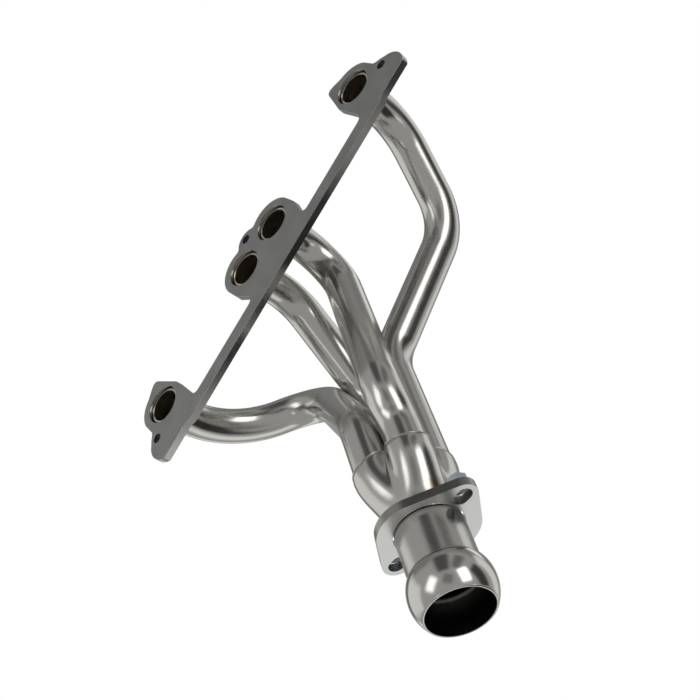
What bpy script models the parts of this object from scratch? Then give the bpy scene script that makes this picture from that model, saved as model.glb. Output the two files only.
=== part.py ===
"""Four-into-one tubular exhaust manifold for an inline four-cylinder engine.

The object stands as it does on the engine.  The origin is the middle of the port row on the
gasket face, +X runs along the head from port 1 to port 4, +Y points away from the head and
+Z points up.  The outlet hangs down and back from the tubes along its own slanted axis.

Places along the outlet axis are given as heights above the mouth, measured up the axis.
"""

import math

import bmesh
import bpy
from mathutils import Matrix, Vector

MM = 0.001
GAP = 0.3 * MM

# Head flange
PLATE_THICKNESS = 8.0 * MM
PORT_X = (-194.3 * MM, -27.8 * MM, 27.8 * MM, 194.3 * MM)
PORT_RADIUS = 21.1 * MM
STUD_RADIUS = 5.5 * MM
STUD_PLACES = ((-225.0 * MM, -26.0 * MM), (0.0, 27.8 * MM), (225.0 * MM, -26.0 * MM))

# Primary tubes: 38.1 mm outside
TUBE_RADIUS = 19.05 * MM
TUBE_WALL = 1.6 * MM
TUBE_SETBACK = 3.2 * MM
TUBE_SIDES = 20
BEND_STEP = math.radians(12.0)
SEAL_WELD_DEPTH = 7.5 * MM
FILLET_WIDTH = 3.8 * MM
FILLET_HEIGHT = 3.6 * MM

# Outlet axis and what is turned about it: 63.5 mm pipe with a ball end
MOUTH_CENTRE = Vector((-181.6, 73.9, -435.4)) * MM
OUTLET_TILT = math.radians(25.1)
OUTLET_AZIMUTH = math.radians(-175.1)
PIPE_RADIUS = 31.75 * MM
PIPE_WALL = 1.6 * MM
PIPE_TOP = 84.0 * MM
BALL_RADIUS = 38.1 * MM
BALL_CENTRE = 21.4 * MM
BALL_SHOULDER = 35.2 * MM
BALL_TOP = 38.4 * MM
BALL_COLLAR_RADIUS = 32.3 * MM
BALL_SHOULDER_STEP = 0.9 * MM
NECK_BEAD_HEIGHT = 2.3 * MM
BALL_BEAD_HEIGHT = 1.9 * MM
MOUTH_RADIUS = math.sqrt(BALL_RADIUS**2 - BALL_CENTRE**2)

# Collector: four lobes that run into a round neck
LOBE_CIRCLE = 27.3 * MM
LOBE_WALL = 1.6 * MM
LOBE_CLOCK = math.radians(38.0)
LOBE_OFFSET = 1.8 * MM
OFFSET_CLOCK = math.radians(61.1)
LOBE_FIT = 0.5 * MM
GATHER_HEIGHT = 172.0 * MM
RIM_CROWN = 159.5 * MM
RIM_RISE = 11.0 * MM
LOBE_END = 156.0 * MM
NECK_HEIGHT = 90.0 * MM
NECK_RADIUS = 30.6 * MM
TUBE_END = 156.4 * MM
ENTRY_BEAD_RADIUS = 1.1 * MM
ENTRY_BEAD_CLEAR = 1.6 * MM
ENTRY_BEAD_REACH = math.radians(102.0)
PLUG_THICKNESS = 3.0 * MM
PLUG_REACH = 14.0 * MM

# Swivel flange: a plate around four circles, turned freely about the neck
SWIVEL_FRONT = 86.9 * MM
SWIVEL_THICKNESS = 9.0 * MM
SWIVEL_HOLE = 32.4 * MM
SWIVEL_CLOCK = math.radians(61.1)
EAR_CENTRE = Vector((36.6, 27.0)) * MM
EAR_RADIUS = 13.3 * MM
BODY_CENTRE = Vector((-9.2, 2.7)) * MM
BODY_RADIUS = 36.9 * MM
SLOT_RADIUS = 7.2 * MM
SLOT_RUN = 2.4 * MM
SLOT_SHIFT = 1.1 * MM
NUT_ACROSS_FLATS = 17.0 * MM
NUT_THICKNESS = 10.0 * MM
NUT_BORE = 5.1 * MM

COLLECTION_NAME = "exhaust_manifold"


# ---------------------------------------------------------------- scene and materials

def clear_scene():
    for item in list(bpy.data.objects):
        bpy.data.objects.remove(item, do_unlink=True)


def make_collection(name):
    collection = bpy.data.collections.new(name)
    bpy.context.scene.collection.children.link(collection)
    return collection


def make_material(name, colour, roughness, metallic=1.0):
    material = bpy.data.materials.new(name)
    material.use_nodes = True
    shader = material.node_tree.nodes["Principled BSDF"]
    shader.inputs["Base Color"].default_value = (*colour, 1.0)
    shader.inputs["Roughness"].default_value = roughness
    shader.inputs["Metallic"].default_value = metallic
    material.diffuse_color = (*colour, 1.0)
    return material


def polished_stainless():
    return make_material("polished_stainless", (0.66, 0.65, 0.62), 0.10)


def brushed_stainless():
    return make_material("brushed_stainless", (0.60, 0.59, 0.56), 0.28)


def blasted_steel():
    return make_material("blasted_steel", (0.34, 0.34, 0.33), 0.55)


def cast_steel():
    return make_material("cast_steel", (0.58, 0.58, 0.57), 0.50)


def weld_metal():
    return make_material("weld_metal", (0.42, 0.36, 0.29), 0.30)


def zinc_plate():
    return make_material("zinc_plate", (0.62, 0.66, 0.70), 0.30)


def add_object(name, data, collection, material, matrix=None):
    item = bpy.data.objects.new(name, data)
    item.matrix_world = matrix if matrix else Matrix.Identity(4)
    data.materials.clear()
    data.materials.append(material)
    collection.objects.link(item)
    return item


# ---------------------------------------------------------------- frames

def outlet_direction():
    """Unit vector down the outlet axis, out of the mouth."""
    flat = math.sin(OUTLET_TILT)
    return Vector((flat * math.cos(OUTLET_AZIMUTH), flat * math.sin(OUTLET_AZIMUTH),
                   -math.cos(OUTLET_TILT)))


def outlet_frame(clock=0.0):
    """Frame at the mouth: local Z runs out of the mouth, local X is nearest to world +Y.

    The clock angle turns local X about the axis.
    """
    down = outlet_direction()
    away = Vector((0.0, 1.0, 0.0))
    away = (away - away.dot(down) * down).normalized()
    side = down.cross(away)
    turned = Matrix((away, side, down)).transposed().to_4x4()
    return Matrix.Translation(MOUTH_CENTRE) @ turned @ Matrix.Rotation(clock, 4, "Z")


def port_frame(x, y=0.0):
    """Frame on a port's axis: local Z runs away from the head along world +Y."""
    return Matrix.Translation((x, y, 0.0)) @ Matrix.Rotation(-math.pi / 2, 4, "X")


def at_height(height):
    """Move along the outlet axis to a height above the mouth."""
    return Matrix.Translation((0.0, 0.0, -height))


def lobe_place(index):
    """Centre of a lobe in the outlet frame's own X and Y.  Index 0 to 3 goes round the axis."""
    angle = LOBE_CLOCK + index * math.pi / 2
    middle = lobe_middle(1.0)
    return Vector((middle.x + LOBE_CIRCLE * math.cos(angle), middle.y + LOBE_CIRCLE * math.sin(angle)))


def lobe_middle(share):
    """Middle of the lobes, which sit a little to one side of the neck."""
    offset = -LOBE_OFFSET * share
    return Vector((offset * math.cos(OFFSET_CLOCK), offset * math.sin(OFFSET_CLOCK)))


# ---------------------------------------------------------------- shape helpers

def arc(centre, radius, start, end, count):
    """Points on an arc, from start to end in degrees, both ends included."""
    points = []
    for step in range(count + 1):
        angle = math.radians(start + (end - start) * step / count)
        points.append((centre[0] + radius * math.cos(angle), centre[1] + radius * math.sin(angle)))
    return points


def ring_points(centre, radius, count):
    return arc(centre, radius, 0.0, 360.0, count)[:-1]


def plate_object(name, loops, thickness, collection, material, matrix):
    """A flat plate from closed loops: the first is the outline and the others are holes."""
    curve = bpy.data.curves.new(name, "CURVE")
    curve.dimensions = "2D"
    curve.fill_mode = "BOTH"
    curve.extrude = thickness / 2
    for loop in loops:
        spline = curve.splines.new("POLY")
        spline.points.add(len(loop) - 1)
        for point, (x, y) in zip(spline.points, loop):
            point.co = (x, y, 0.0, 1.0)
        spline.use_cyclic_u = True
    return add_object(name, curve, collection, material, matrix)


def turned_object(name, profile, steps, collection, material, matrix):
    """A ring turned about local Z.  The closed profile runs down its outer side, then up inside."""
    mesh = bpy.data.meshes.new(name)
    count = len(profile)
    vertices = [(radius, 0.0, z) for radius, z in profile]
    edges = [(index, (index + 1) % count) for index in range(count)]
    mesh.from_pydata(vertices, edges, [])
    item = add_object(name, mesh, collection, material, matrix)
    screw = item.modifiers.new("turn", "SCREW")
    screw.axis = "Z"
    screw.angle = 2 * math.pi
    screw.steps = steps
    screw.render_steps = steps
    screw.use_merge_vertices = True
    screw.merge_threshold = 0.00001
    screw.use_smooth_shade = True
    return item


def bead_profile(inner, outer, low, high, count=5):
    """A weld bead's section: a flat foot and bore, and a rounded outer corner."""
    width = outer - inner
    height = high - low
    round_side = [(inner + width * math.sin(math.pi / 2 * k / count),
                   low + height * math.cos(math.pi / 2 * k / count)) for k in range(count + 1)]
    return round_side + [(inner, low)]


def bend_route(corners, radii):
    """A centreline of straight runs joined by arcs, as a tube bender makes it."""
    route = [corners[0]]
    for before, corner, after, radius in zip(corners, corners[1:], corners[2:], radii):
        back = (before - corner).normalized()
        ahead = (after - corner).normalized()
        turn = math.pi - back.angle(ahead)
        reach = radius * math.tan(turn / 2)
        start = corner + back * reach
        centre = corner + (back + ahead).normalized() * math.hypot(reach, radius)
        spoke = (start - centre).normalized()
        count = max(2, math.ceil(turn / BEND_STEP))
        for step in range(count + 1):
            angle = turn * step / count
            route.append(centre + radius * (math.cos(angle) * spoke - math.sin(angle) * back))
    route.append(corners[-1])
    return route


def curve_object(name, route, radius, sides, collection, material, capped, matrix=None):
    """A round bar or an open sleeve along a route."""
    curve = bpy.data.curves.new(name, "CURVE")
    curve.dimensions = "3D"
    curve.bevel_depth = radius
    curve.bevel_resolution = sides // 2 - 2
    curve.use_fill_caps = capped
    curve.twist_mode = "MINIMUM"
    spline = curve.splines.new("POLY")
    spline.points.add(len(route) - 1)
    for point, place in zip(spline.points, route):
        point.co = (*place, 1.0)
    return add_object(name, curve, collection, material, matrix)


def tube_object(name, route, radius, wall, sides, collection, material):
    """A hollow tube: an open sleeve whose wall grows inwards."""
    sleeve = curve_object(name + "_route", route, radius, sides, collection, material, False)
    graph = bpy.context.evaluated_depsgraph_get()
    mesh = bpy.data.meshes.new_from_object(sleeve.evaluated_get(graph))
    mesh.name = name
    shell = bmesh.new()
    shell.from_mesh(mesh)
    bmesh.ops.remove_doubles(shell, verts=shell.verts, dist=0.00001)
    shell.to_mesh(mesh)
    shell.free()
    matrix = sleeve.matrix_world.copy()
    bpy.data.objects.remove(sleeve, do_unlink=True)
    tube = add_object(name, mesh, collection, material, matrix)
    mesh.shade_smooth()
    thicken = tube.modifiers.new("wall", "SOLIDIFY")
    thicken.thickness = wall
    thicken.offset = -1.0
    return tube


# ---------------------------------------------------------------- head flange and ports

def head_outline():
    """The plate's right half, from the top stud tab round to the bottom, then its mirror image."""
    half = arc((0.0, 20.0), 16.5, 90.0, 34.0, 5)
    half += [(16.5, 28.2)]
    half += arc((27.8, 0.0), 30.2, 105.0, 0.0, 10)
    half += [(58.0, -17.0), (51.5, -36.0), (51.5, -38.5)]
    half += arc((58.0, -38.5), 6.5, 200.0, 270.0, 3)
    half += arc((158.3, -37.0), 8.0, -90.0, 0.0, 4)
    half += [(166.3, 0.0), (178.3, 32.6), (180.5, 35.8), (184.0, 36.9), (188.0, 35.9)]
    half += arc((194.3, 0.0), 30.1, 78.0, 12.0, 6)
    half += [(224.4, -11.5), (226.2, -14.3), (231.0, -18.8)]
    half += arc((220.0, -40.5), 22.4, 47.0, -50.0, 8)
    half += [(193.5, -57.5), (187.5, -61.0)]
    right = [(x * MM, z * MM) for x, z in half]
    left = [(-x, z) for x, z in reversed(right) if x > 0.0]
    return right + left


def head_flange(collection, material):
    holes = [ring_points((x, 0.0), PORT_RADIUS, 32) for x in PORT_X]
    holes += [ring_points(place, STUD_RADIUS, 16) for place in STUD_PLACES]
    stand_up = Matrix.Translation((0.0, PLATE_THICKNESS / 2, 0.0)) @ Matrix.Rotation(math.pi / 2, 4, "X")
    plate_object("head_flange", [head_outline()] + holes, PLATE_THICKNESS, collection, material, stand_up)


def port_welds(collection, material):
    """Each tube is welded twice: inside the port, around its end, and behind the plate."""
    bore = TUBE_RADIUS + GAP
    for number, x in enumerate(PORT_X, start=1):
        seal = bead_profile(bore, PORT_RADIUS - GAP, -SEAL_WELD_DEPTH, -TUBE_SETBACK)
        flipped = port_frame(x) @ Matrix.Rotation(math.pi, 4, "X")
        turned_object(f"port_seal_weld_{number}", seal, 24, collection, material, flipped)
        fillet = bead_profile(bore, TUBE_RADIUS + FILLET_WIDTH, 0.0, FILLET_HEIGHT)
        turned_object(f"port_fillet_weld_{number}", fillet, 24, collection, material,
                      port_frame(x, PLATE_THICKNESS + GAP))


# ---------------------------------------------------------------- primary tubes

def tube_corners():
    """Corner points between each port and its lobe, bend radii and length of the last straight.

    Tube 1 serves port 1, and so on.  The first corner is straight out from the port.
    """
    return (
        {"lobe": 2, "stub": 85.2, "corner": (-104.1, 153.8, -37.0),
         "last": 49.6, "radii": (110.0, 55.0, 60.0)},
        {"lobe": 3, "stub": 64.7, "corner": (-86.6, 182.5, -101.0),
         "last": 43.1, "radii": (60.5, 60.0, 60.0)},
        {"lobe": 1, "stub": 89.2, "corner": (-62.4, 46.5, -242.1),
         "last": 21.2, "radii": (50.2, 56.2, 54.6)},
        {"lobe": 0, "stub": 62.9, "corner": (126.6, 148.6, -71.8),
         "last": 142.8, "radii": (73.7, 73.8, 72.9)},
    )


def tube_route(x, plan):
    place = lobe_place(plan["lobe"])
    frame = outlet_frame()
    entry = frame @ Vector((place.x, place.y, -GATHER_HEIGHT))
    down = outlet_direction()
    start = Vector((x, TUBE_SETBACK, 0.0))
    corners = [
        start,
        Vector((x, PLATE_THICKNESS + plan["stub"] * MM, 0.0)),
        Vector(plan["corner"]) * MM,
        entry - down * plan["last"] * MM,
        entry + down * (GATHER_HEIGHT - TUBE_END),
    ]
    return bend_route(corners, [radius * MM for radius in plan["radii"]])


def primary_tubes(collection, material):
    for number, (x, plan) in enumerate(zip(PORT_X, tube_corners()), start=1):
        route = tube_route(x, plan)
        tube_object(f"primary_tube_{number}", route, TUBE_RADIUS, TUBE_WALL, TUBE_SIDES, collection, material)


# ---------------------------------------------------------------- collector

def smooth_step(value):
    value = min(1.0, max(0.0, value))
    return value * value * (3.0 - 2.0 * value)


def lobed_radius(from_lobe, lobe_radius):
    """Distance from the middle to the outline of four circles, by the angle from a lobe."""
    across = LOBE_CIRCLE * math.sin(from_lobe)
    return LOBE_CIRCLE * math.cos(from_lobe) + math.sqrt(lobe_radius**2 - across**2)


def lobe_reach():
    """How far round its own circle a lobe goes before it meets the next lobe in a cusp."""
    bore = TUBE_RADIUS + LOBE_FIT
    return math.pi / 4 + math.asin(LOBE_CIRCLE * math.sin(math.pi / 4) / bore)


def rim_height(from_lobe):
    """The collector's rim dips over each lobe's crown and rises to the cusps between them."""
    return RIM_CROWN + RIM_RISE * (from_lobe / (math.pi / 4))**2


def collector_ring(height, wall, per_lobe):
    """One section of the collector, or its rim when no height is given.

    The lobes fade into the neck's circle down the cone.
    """
    bore = TUBE_RADIUS + LOBE_FIT
    ring = []
    for step in range(4 * per_lobe):
        lobe, part = divmod(step, per_lobe)
        round_lobe = lobe_reach() * (2.0 * part / per_lobe - 1.0)
        from_lobe = math.atan2(bore * math.sin(round_lobe), LOBE_CIRCLE + bore * math.cos(round_lobe))
        level = height if height else rim_height(from_lobe)
        share = 1.0 - smooth_step((LOBE_END - level) / (LOBE_END - NECK_HEIGHT))
        lobed = lobed_radius(from_lobe, bore + LOBE_WALL - wall)
        radius = share * lobed + (1.0 - share) * (NECK_RADIUS - wall)
        angle = LOBE_CLOCK + lobe * math.pi / 2 + from_lobe
        middle = lobe_middle(share)
        ring.append((middle.x + radius * math.cos(angle), middle.y + radius * math.sin(angle), -level))
    return ring


def collector(collection, material):
    """A loft between the four-lobed rim and the round neck, with an inner and an outer skin."""
    per_lobe = 14
    heights = [None, LOBE_END, 149.0 * MM, 142.0 * MM, 134.0 * MM, 126.0 * MM, 117.0 * MM,
               107.0 * MM, NECK_HEIGHT, PIPE_TOP + GAP]
    rings = [collector_ring(height, 0.0, per_lobe) for height in heights]
    rings += [collector_ring(height, LOBE_WALL, per_lobe) for height in reversed(heights)]
    count = len(rings[0])
    vertices = [place for ring in rings for place in ring]
    faces = []
    for row in range(len(rings)):
        below = (row + 1) % len(rings)
        for step in range(count):
            after = (step + 1) % count
            faces.append((row * count + step, row * count + after,
                          below * count + after, below * count + step))
    mesh = bpy.data.meshes.new("collector")
    mesh.from_pydata(vertices, [], faces)
    mesh.shade_smooth()
    mesh.set_sharp_from_angle(angle=math.radians(40.0))
    add_object("collector", mesh, collection, material, outlet_frame())


def merge_plug(collection, material):
    """The star-shaped plate that closes the gap in the middle of the four tubes."""
    clear = TUBE_RADIUS + GAP
    loop = []
    count = 48
    for step in range(count):
        angle = LOBE_CLOCK + 2 * math.pi * step / count
        nearest = (angle - LOBE_CLOCK + math.pi / 4) % (math.pi / 2) - math.pi / 4
        across = LOBE_CIRCLE * math.sin(nearest)
        radius = LOBE_CIRCLE * math.cos(nearest) - math.sqrt(clear**2 - across**2)
        radius = min(radius, PLUG_REACH)
        middle = lobe_middle(1.0)
        loop.append((middle.x + radius * math.cos(angle), middle.y + radius * math.sin(angle)))
    frame = outlet_frame() @ at_height(GATHER_HEIGHT - PLUG_THICKNESS / 2)
    plate_object("merge_plug", [loop], PLUG_THICKNESS, collection, material, frame)


def entry_welds(collection, material):
    """A bead along the collector's rim, around the outer side of each tube."""
    seat = TUBE_RADIUS + GAP + ENTRY_BEAD_RADIUS
    count = 20
    for number, lobe in enumerate((2, 3, 1, 0), start=1):
        place = lobe_place(lobe)
        outward = LOBE_CLOCK + lobe * math.pi / 2
        route = []
        for step in range(count + 1):
            round_lobe = ENTRY_BEAD_REACH * (2.0 * step / count - 1.0)
            angle = outward + round_lobe
            from_lobe = math.atan2(seat * math.sin(round_lobe), LOBE_CIRCLE + seat * math.cos(round_lobe))
            level = rim_height(from_lobe) + ENTRY_BEAD_CLEAR
            route.append(Vector((place.x + seat * math.cos(angle), place.y + seat * math.sin(angle), -level)))
        curve_object(f"entry_weld_{number}", route, ENTRY_BEAD_RADIUS, 8, collection, material, True,
                     outlet_frame())


# ---------------------------------------------------------------- outlet

def outlet_tube(collection, material):
    low = BALL_TOP + GAP
    bore = PIPE_RADIUS - PIPE_WALL
    profile = [(PIPE_RADIUS, -low), (PIPE_RADIUS, -PIPE_TOP), (bore, -PIPE_TOP), (bore, -low)]
    turned_object("outlet_tube", profile, 48, collection, material, outlet_frame())


def outlet_welds(collection, material):
    """One bead steps from the neck up to the pipe, the other joins the pipe to the ball."""
    frame = outlet_frame()
    beads = (("outlet_weld", NECK_RADIUS + GAP, PIPE_RADIUS, PIPE_TOP + GAP, NECK_BEAD_HEIGHT),
             ("ball_weld", PIPE_RADIUS + GAP, BALL_COLLAR_RADIUS + BALL_SHOULDER_STEP,
              BALL_TOP + GAP, BALL_BEAD_HEIGHT))
    for name, inner, outer, foot, height in beads:
        section = bead_profile(inner, outer, foot, foot + height)
        upright = [(radius, -level) for radius, level in reversed(section)]
        turned_object(name, upright, 36, collection, material, frame)


def ball_points(radius, collar, count):
    """The ball's section from its collar down to the mouth: a short shoulder, then the sphere."""
    start = math.asin((BALL_SHOULDER - BALL_CENTRE) / radius)
    end = -math.asin(BALL_CENTRE / BALL_RADIUS)
    rounded = collar + 0.7 * (radius * math.cos(start) - collar)
    points = [(collar, -BALL_TOP), (rounded, -(BALL_TOP - BALL_SHOULDER_STEP))]
    for step in range(count + 1):
        angle = start + (end - start) * step / count
        points.append((radius * math.cos(angle), -(BALL_CENTRE + radius * math.sin(angle))))
    return points


def outlet_ball(collection, material):
    outer = ball_points(BALL_RADIUS, BALL_COLLAR_RADIUS, 9)
    inner = ball_points(BALL_RADIUS - PIPE_WALL, BALL_COLLAR_RADIUS - PIPE_WALL, 7)
    outer[-1] = (MOUTH_RADIUS, 0.0)
    inner[-1] = (MOUTH_RADIUS - PIPE_WALL, 0.0)
    profile = inner + outer[::-1]
    turned_object("outlet_ball", profile, 40, collection, material, outlet_frame())


# ---------------------------------------------------------------- swivel flange

def swivel_outline(count=80):
    """The tight outline around two ear circles and two body circles, the same after a half turn."""
    circles = [(EAR_CENTRE, EAR_RADIUS), (-EAR_CENTRE, EAR_RADIUS),
               (BODY_CENTRE, BODY_RADIUS), (-BODY_CENTRE, BODY_RADIUS)]
    loop = []
    for step in range(count):
        angle = 2 * math.pi * step / count
        normal = Vector((math.cos(angle), math.sin(angle)))
        centre, radius = max(circles, key=lambda circle: circle[0].dot(normal) + circle[1])
        loop.append(tuple(centre + radius * normal))
    return loop


def bolt_slot(ear, count=10):
    """A slot through an ear: two half circles on the line from the flange's middle to the ear."""
    outward = ear.normalized()
    middle = ear - SLOT_SHIFT * outward
    heading = math.degrees(math.atan2(outward.y, outward.x))
    far = arc(middle + SLOT_RUN * outward, SLOT_RADIUS, heading - 90.0, heading + 90.0, count)
    near = arc(middle - SLOT_RUN * outward, SLOT_RADIUS, heading + 90.0, heading + 270.0, count)
    return far + near


def swivel_axis(collection):
    """An empty on the swivel's axis, which carries the flange and its nuts."""
    empty = bpy.data.objects.new("swivel_axis", None)
    empty.matrix_world = outlet_frame(SWIVEL_CLOCK)
    empty.empty_display_size = 0.03
    collection.objects.link(empty)
    return empty


def swivel_flange(collection, material, carrier):
    loops = [swivel_outline(), ring_points((0.0, 0.0), SWIVEL_HOLE, 48)]
    loops += [bolt_slot(ear) for ear in (EAR_CENTRE, -EAR_CENTRE)]
    middle = at_height(SWIVEL_FRONT + SWIVEL_THICKNESS / 2)
    plate = plate_object("swivel_flange", loops, SWIVEL_THICKNESS, collection, material, middle)
    plate.parent = carrier


def flange_nuts(collection, material, carrier):
    """A hex nut on the back of each ear."""
    corner = NUT_ACROSS_FLATS / 2 / math.cos(math.pi / 6)
    back = SWIVEL_FRONT + SWIVEL_THICKNESS + GAP
    for number, centre in enumerate((EAR_CENTRE, -EAR_CENTRE), start=1):
        loops = [ring_points(centre, corner, 6), ring_points(centre, NUT_BORE, 16)]
        middle = at_height(back + NUT_THICKNESS / 2)
        nut = plate_object(f"flange_nut_{number}", loops, NUT_THICKNESS, collection, material, middle)
        nut.parent = carrier


# ---------------------------------------------------------------- assembly

def build():
    clear_scene()
    parts = make_collection(COLLECTION_NAME)
    polished = polished_stainless()
    brushed = brushed_stainless()
    bead = weld_metal()
    head_flange(parts, blasted_steel())
    port_welds(parts, bead)
    primary_tubes(parts, polished)
    collector(parts, polished)
    merge_plug(parts, brushed)
    entry_welds(parts, bead)
    outlet_tube(parts, brushed)
    outlet_welds(parts, bead)
    outlet_ball(parts, polished)
    carrier = swivel_axis(parts)
    swivel_flange(parts, cast_steel(), carrier)
    flange_nuts(parts, zinc_plate(), carrier)
    bpy.context.view_layer.update()


build()
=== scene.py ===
import math

import bmesh
import bpy
import numpy as np
from bpy.props import FloatProperty, FloatVectorProperty, PointerProperty
from mathutils import Euler, Matrix, Vector


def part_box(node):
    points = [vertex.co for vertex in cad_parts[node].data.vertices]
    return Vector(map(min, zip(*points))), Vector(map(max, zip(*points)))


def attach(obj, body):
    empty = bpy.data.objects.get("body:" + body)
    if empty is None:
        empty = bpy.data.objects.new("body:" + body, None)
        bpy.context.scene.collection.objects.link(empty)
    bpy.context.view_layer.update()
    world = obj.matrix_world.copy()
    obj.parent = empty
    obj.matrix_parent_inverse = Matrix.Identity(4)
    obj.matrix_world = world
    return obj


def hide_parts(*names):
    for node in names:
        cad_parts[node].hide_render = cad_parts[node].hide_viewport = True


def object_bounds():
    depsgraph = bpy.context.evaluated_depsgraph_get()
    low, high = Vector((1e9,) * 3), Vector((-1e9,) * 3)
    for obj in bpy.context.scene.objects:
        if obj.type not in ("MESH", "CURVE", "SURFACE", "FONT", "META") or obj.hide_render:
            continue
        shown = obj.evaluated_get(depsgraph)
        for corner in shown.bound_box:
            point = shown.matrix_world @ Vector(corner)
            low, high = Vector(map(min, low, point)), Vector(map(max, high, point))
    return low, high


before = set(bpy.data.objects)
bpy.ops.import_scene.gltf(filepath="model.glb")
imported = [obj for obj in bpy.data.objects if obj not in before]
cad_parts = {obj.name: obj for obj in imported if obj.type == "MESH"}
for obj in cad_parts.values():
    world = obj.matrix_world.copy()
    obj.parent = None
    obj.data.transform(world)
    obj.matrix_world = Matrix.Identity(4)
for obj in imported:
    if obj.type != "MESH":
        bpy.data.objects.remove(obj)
cad_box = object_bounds()

bl_info = {
    "name": "Exhaust manifold builder",
    "version": (1, 0, 0),
    "blender": (4, 5, 0),
    "location": "3D View > Sidebar > Manifold",
    "description": "Builds the finished pieces of a four-into-one tubular exhaust manifold",
    "category": "Add Mesh",
}

MM = 0.001
ROOT = "manifold"
SWIVEL = "swivel"
GAP = 0.3 * MM
SKIN_CREASE = math.radians(38.0)
PLATE_CREASE = math.radians(26.0)
ROUNDED_CORNER = math.radians(50.0)

# Head flange: places lie across X and Z, and depths run along Y from the gasket face.
PLATE_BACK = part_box("head_flange")[1].y
PORT_X = (-194.3 * MM, -27.8 * MM, 27.8 * MM, 194.3 * MM)
PORT_RADIUS = 21.1 * MM
TUBE_SETBACK = 3.2 * MM
SEAL_LAP = 0.5 * MM
FILLET_LEG = 3.5 * MM
STUD_RADIUS = 5.5 * MM
STUD_PLACES = ((-225.0 * MM, -26.0 * MM), (0.0, 27.8 * MM), (225.0 * MM, -26.0 * MM))

# Runners in the order of the ports: the lobe that each one enters, then in millimetres the depth
# of its first corner behind the plate, its second corner, the height of its third corner over
# the gathering height, and the radii of the three bends.
RUNNERS = (
    (2, 85.2, (-104.1, 153.8, -37.0), 49.6, (110.0, 55.0, 60.0)),
    (3, 64.7, (-86.6, 182.5, -101.0), 43.1, (60.5, 60.0, 60.0)),
    (1, 89.2, (-62.4, 46.5, -242.1), 21.2, (50.2, 56.2, 54.6)),
    (0, 62.9, (126.6, 148.6, -71.8), 142.8, (73.7, 73.8, 72.9)),
)

# Outlet: heights run up its axis from the middle of the ball's mouth.
MOUTH_CENTRE = np.array((-181.6, 73.9, -435.4)) * MM
OUTLET_TILT = math.radians(25.1)
OUTLET_AZIMUTH = math.radians(-175.1)
PIPE_TOP = 84.0 * MM
PIPE_WELD_CROWN = 2.6 * MM
BALL_CENTRE = 21.4 * MM
BALL_SHOULDER = 35.2 * MM
BALL_TOP = 38.4 * MM
BALL_COLLAR = 32.3 * MM
BALL_WELD_CROWN = 2.2 * MM
BALL_WELD_LAP = 0.9 * MM

# Collector: clocks are angles round the outlet's axis, and each lobe takes one runner.
LOBE_CIRCLE = 27.3 * MM
LOBE_CLOCK = math.radians(38.0)
LOBE_OFFSET = 1.8 * MM
OFFSET_CLOCK = math.radians(61.1)
LOBE_FIT = 0.5 * MM
HALF_LOBE = math.pi / 4
GATHER_HEIGHT = 172.0 * MM
TUBE_END = 156.4 * MM
RIM_CROWN = 159.5 * MM
RIM_RISE = 11.0 * MM
RIM_ROLL = 0.8 * MM
ROLL_REACH = 5.0 * MM
CREASE_REACH = 60.0 * MM
LOBE_END = 156.0 * MM
NECK_HEIGHT = 90.0 * MM
NECK_RADIUS = 30.6 * MM
COLLECTOR_LENGTH = 90.0 * MM
ENTRY_BEAD = 0.8 * MM
ENTRY_BEAD_REACH = math.radians(102.0)
HEAT_SPOT = (-14.0 * MM, 30.0 * MM, 108.0 * MM)
HEAT_REACH = 14.0 * MM

# Swivel flange and its nuts: the ears stand at the centre and opposite it, turned by the clock.
SWIVEL_BACK = 95.9 * MM
SWIVEL_CLOCK = math.radians(61.1)
EAR_CENTRE = np.array((36.6, 27.0)) * MM
NUT_ACROSS_FLATS = 17.0 * MM
NUT_THICKNESS = 10.0 * MM
NUT_BORE = 5.1 * MM
THREAD_PITCH = 1.5 * MM
THREAD_DEPTH = 0.45 * MM
THREAD_FLARE = 0.8 * MM

# Studio
FLOOR_REACH = 20.0
FLOOR_GLOW = 0.62
ROOM_GREY = 0.39
CAMERA_PLACE = Vector((-61.75, -623.17, -1063.24)) * MM
CAMERA_TURN = Euler([math.radians(angle) for angle in (159.567, 31.407, 53.122)])
CAMERA_LENS = 60.017
CAMERA_SENSOR = 36.0


# ---------------------------------------------------------------- settings

class TubingSettings(bpy.types.PropertyGroup):
    """Sizes of the tubing"""
    runner_radius: FloatProperty(name="Runner radius", description="Outside radius of the four runners",
                                 default=19.05 * MM, unit="LENGTH")
    pipe_radius: FloatProperty(name="Outlet radius", description="Outside radius of the outlet pipe",
                               default=31.75 * MM, unit="LENGTH")
    ball_radius: FloatProperty(name="Ball radius", description="Outside radius of the outlet's ball end",
                               default=38.1 * MM, unit="LENGTH")
    wall: FloatProperty(name="Wall", description="Thickness of every tube's wall",
                        default=1.6 * MM, unit="LENGTH")
    edge_round: FloatProperty(name="Edge rounding", description="Rounding along the plates' edges",
                              default=0.7 * MM, unit="LENGTH")


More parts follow.
